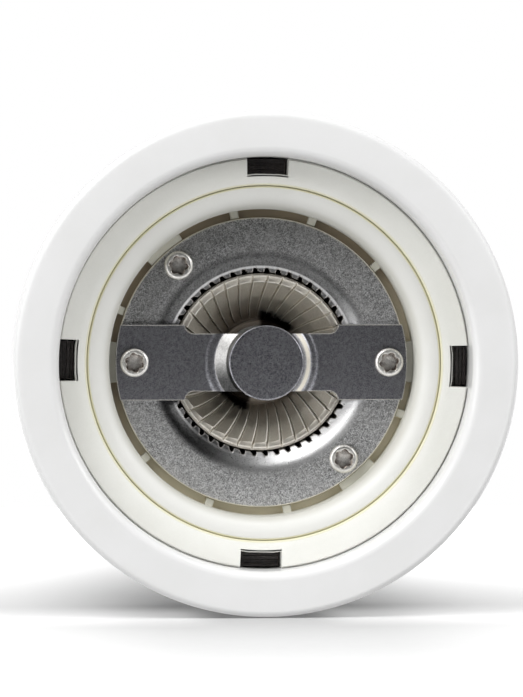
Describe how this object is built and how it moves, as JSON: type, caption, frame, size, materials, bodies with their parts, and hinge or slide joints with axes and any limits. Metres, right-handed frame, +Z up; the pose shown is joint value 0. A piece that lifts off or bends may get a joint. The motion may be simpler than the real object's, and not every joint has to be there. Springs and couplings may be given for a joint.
{
  "type": "salt mill",
  "caption": "Turned wooden salt mill: its head turns a toothed cone in the base, and a ring round the base raises and lowers the toothed plate to set the grind.",
  "frame": {"origin": "centre of the flat face of the selector ring, on which the mill stands", "axes": "+Z up the mill's axis to the knob; +X and +Y lie 45 degrees either side of the bridge bar"},
  "size_m": [0.065, 0.065, 0.2208],
  "materials": {
    "white_lacquer": "white lacquered beech, soft gloss",
    "cream_liner": "cream moulded plastic, fine moulded grain",
    "cream_carrier": "white-cream moulded plastic, soft sheen",
    "black_clip": "black moulded plastic, coarse grain",
    "olive_plastic": "olive grey moulded plastic",
    "plate_steel": "bead blasted sheet steel with a polished lip",
    "bar_steel": "dark satin sheet steel",
    "screw_steel": "plain steel screws",
    "rotor_steel": "sintered steel, warm grey",
    "shaft_steel": "drawn square steel bar",
    "spring_steel": "spring steel",
    "bush_plastic": "natural bearing plastic",
    "bright_metal": "polished metal",
    "brass": "turned brass"
  },
  "bodies": {
    "column": {"body_column": "white_lacquer", "guide_ring": "olive_plastic", "guide_ring_screws": "screw_steel", "detent_springs": "spring_steel", "stator_sleeve": "olive_plastic", "upper_bridge": "plate_steel", "shaft_bush": "bush_plastic"},
    "spindle": {"drive_shaft": "shaft_steel", "rotor": "rotor_steel", "rotor_clip": "spring_steel", "shaft_clip": "spring_steel", "spring_washer": "spring_steel", "rotor_spring": "spring_steel"},
    "head": {"mill_head": "white_lacquer", "drive_plate": "shaft_steel", "drive_plate_screws": "screw_steel", "head_washer": "bright_metal"},
    "knob": {"knob": "bright_metal", "knob_insert": "brass"},
    "selector": {"selector_ring": "white_lacquer", "selector_liner": "cream_liner", "ring_clips": "black_clip"},
    "carrier": {"carrier_cup": "cream_carrier", "stator_plate": "plate_steel", "bridge_bar": "bar_steel", "bridge_screws": "screw_steel", "plate_screws": "screw_steel", "foot_bush": "bush_plastic"}
  },
  "joints": [
    {"name": "grind_turn", "type": "hinge", "parent": "column", "child": "spindle", "pos_m": [0, 0, 0], "axis": [0, 0, 1], "continuous": true},
    {"name": "head_lift", "type": "slide", "parent": "spindle", "child": "head", "axis": [0, 0, 1], "range_m": [0, 0.066]},
    {"name": "knob_unscrew", "type": "slide", "parent": "head", "child": "knob", "axis": [0, 0, 1], "range_m": [0, 0.012]},
    {"name": "selector_turn", "type": "hinge", "parent": "column", "child": "selector", "pos_m": [0, 0, 0], "axis": [0, 0, 1], "range_deg": [0, 150]},
    {"name": "grind_adjust", "type": "slide", "parent": "column", "child": "carrier", "axis": [0, 0, 1], "range_m": [0, 0.00125]}
  ],
  "couplings": [
    {"joint": "grind_adjust", "follows": "selector_turn", "m_per_rad": 0.00047746}
  ]
}
